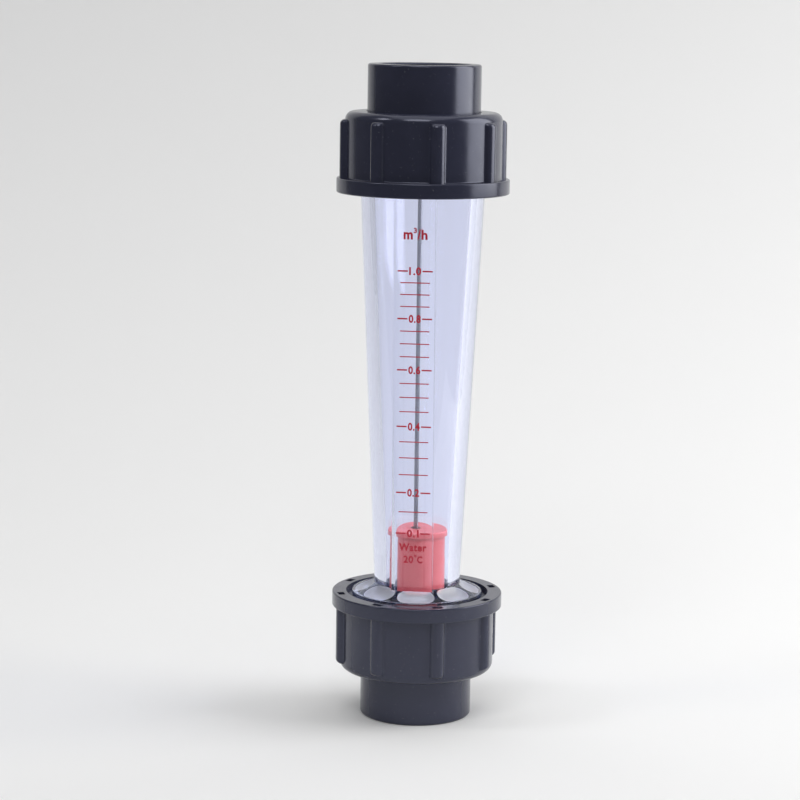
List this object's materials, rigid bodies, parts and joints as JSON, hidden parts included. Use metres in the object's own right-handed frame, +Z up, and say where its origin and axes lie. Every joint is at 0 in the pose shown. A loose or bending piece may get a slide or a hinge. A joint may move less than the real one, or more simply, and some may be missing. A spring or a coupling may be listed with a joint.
{
  "type": "flow meter",
  "caption": "Inline rotameter: a clear tapered tube with a red float on a guide rod, a flat scale panel and grey union nuts that hold plain sockets for cemented pipe.",
  "frame": {"origin": "on the tube's axis, at the open end face of the lower pipe socket, which the meter stands on", "axes": "+Z up along the tube's axis, in the direction of flow; the flat scale panel faces -Y; +X is to the right of someone who reads the scale"},
  "size_m": [0.0622, 0.0622, 0.2378],
  "materials": {
    "clear_plastic": "polished clear moulding with a faint blue tint",
    "grey_plastic": "dark blue-grey moulded plastic, smooth",
    "red_plastic": "moulded red plastic, satin",
    "white_plastic": "natural white moulded plastic",
    "bush_plastic": "turned low-friction plastic",
    "stainless_steel": "drawn and polished",
    "plain_steel": "turned",
    "black_rubber": "moulded rubber"
  },
  "bodies": {
    "meter": {"metering_tube": "clear_plastic", "guide_rod": "stainless_steel", "lower_rod_holder": "white_plastic", "upper_rod_holder": "white_plastic", "lower_stop_bumper": "black_rubber", "upper_stop_bumper": "black_rubber", "lower_rod_washer": "stainless_steel", "upper_rod_washer": "stainless_steel", "lower_rod_nut": "stainless_steel", "upper_rod_nut": "stainless_steel"},
    "float": {"float_body": "red_plastic", "float_cap": "red_plastic", "float_weight": "plain_steel", "float_lower_bush": "bush_plastic", "float_upper_bush": "bush_plastic"},
    "lower_connection": {"lower_socket": "grey_plastic", "lower_o_ring": "black_rubber"},
    "lower_nut": {"lower_union_nut": "grey_plastic"},
    "upper_connection": {"upper_socket": "grey_plastic", "upper_o_ring": "black_rubber"},
    "upper_nut": {"upper_union_nut": "grey_plastic"}
  },
  "joints": [
    {"name": "float_slide", "type": "slide", "parent": "meter", "child": "float", "axis": [0, 0, 1], "range_m": [0, 0.1265]},
    {"name": "lower_connection_lift", "type": "slide", "parent": "meter", "child": "lower_connection", "axis": [0, 0, -1], "range_m": [0, 0.01154]},
    {"name": "lower_nut_turn", "type": "hinge", "parent": "lower_connection", "child": "lower_nut", "pos_m": [0, 0, 0.0309], "axis": [0, 0, -1], "range_deg": [0, 1800]},
    {"name": "upper_connection_lift", "type": "slide", "parent": "meter", "child": "upper_connection", "axis": [0, 0, 1], "range_m": [0, 0.01154]},
    {"name": "upper_nut_turn", "type": "hinge", "parent": "upper_connection", "child": "upper_nut", "pos_m": [0, 0, 0.2069], "axis": [0, 0, 1], "range_deg": [0, 1800]}
  ],
  "couplings": [
    {"joint": "lower_nut_turn", "follows": "lower_connection_lift", "rad_per_m": 2721.2},
    {"joint": "upper_nut_turn", "follows": "upper_connection_lift", "rad_per_m": 2721.2}
  ]
}
